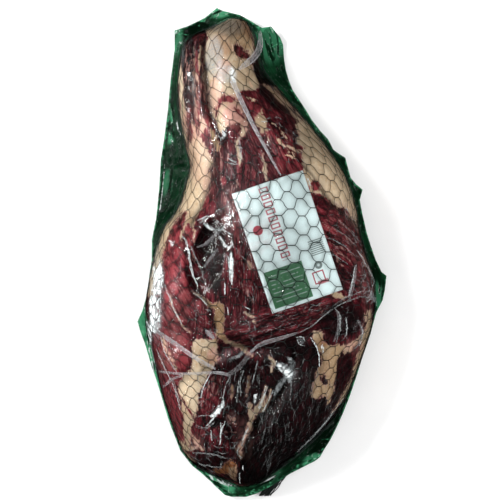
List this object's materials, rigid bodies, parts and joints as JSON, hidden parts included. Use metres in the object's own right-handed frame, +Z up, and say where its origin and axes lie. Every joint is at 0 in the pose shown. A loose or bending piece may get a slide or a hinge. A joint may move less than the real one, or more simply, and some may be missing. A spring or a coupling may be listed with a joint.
{
  "type": "vacuum packed ham centre",
  "caption": "Boned cured ham centre in a skin-tight clear vacuum film over a green back film with a crumpled rim, with a plain label card.",
  "frame": {"origin": "centre of the bottom of the bounding box, on the surface that the pack lies on", "axes": "+Y towards the narrow shank end, +Z up from the surface that it lies on, +X to the right of the shown side"},
  "size_m": [0.218, 0.4292, 0.1098],
  "materials": {
    "cured_meat": "dark red cured lean with cream fat under a clear glossy film",
    "clear_film": "thin clear vacuum film, glossy, with fine wrinkles and white pleats",
    "green_film": "opaque dark green plastic film, glossy and crumpled",
    "label_card": "pale coated card with a green field",
    "black_net": "gathered black net yarn"
  },
  "bodies": {
    "root": {"bagged_ham": "cured_meat", "back_film": "green_film", "label": "label_card", "net_tail": "black_net"}
  },
  "joints": []
}
